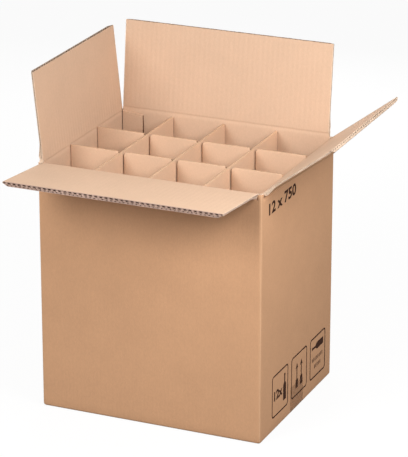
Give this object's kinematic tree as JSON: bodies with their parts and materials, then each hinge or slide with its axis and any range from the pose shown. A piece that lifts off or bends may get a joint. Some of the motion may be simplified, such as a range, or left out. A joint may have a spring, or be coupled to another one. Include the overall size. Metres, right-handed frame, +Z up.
{
  "type": "bottle shipping box",
  "caption": "Open corrugated shipping carton with hinged top flaps and an interlocking grid of slotted dividers that keeps bottles apart.",
  "frame": {"origin": "centre of the carton's underside, on the floor that it stands on", "axes": "+X to the right along the long front wall, +Y from front to back, +Z up"},
  "size_m": [0.4667, 0.4171, 0.5212],
  "materials": {
    "carton_board": "matt brown kraft liner",
    "flap_board": "matt kraft liner with open flutes along the cut edges",
    "divider_board": "matt light kraft board",
    "tape": "brown packing tape with a low sheen"
  },
  "bodies": {
    "carton": {"carton": "carton_board", "cross_divider_left": "divider_board", "cross_divider_middle": "divider_board", "cross_divider_right": "divider_board", "long_divider_front": "divider_board", "long_divider_back": "divider_board", "bottom_tape": "tape"},
    "front_flap": {"front_flap": "flap_board"},
    "back_flap": {"back_flap": "flap_board"},
    "left_flap": {"left_flap": "flap_board"},
    "right_flap": {"right_flap": "flap_board"}
  },
  "joints": [
    {"name": "front_crease", "type": "hinge", "parent": "carton", "child": "front_flap", "pos_m": [0, -0.13112, 0.38462], "axis": [1, 0, 0], "range_deg": [-175, 17]},
    {"name": "back_crease", "type": "hinge", "parent": "carton", "child": "back_flap", "pos_m": [0, 0.13448, 0.38798], "axis": [-1, 0, 0], "range_deg": [-96, 96]},
    {"name": "left_crease", "type": "hinge", "parent": "carton", "child": "left_flap", "pos_m": [-0.16848, 0, 0.38118], "axis": [0, -1, 0], "range_deg": [-96, 96]},
    {"name": "right_crease", "type": "hinge", "parent": "carton", "child": "right_flap", "pos_m": [0.16703, 0, 0.37973], "axis": [0, 1, 0], "range_deg": [-143, 49]}
  ]
}
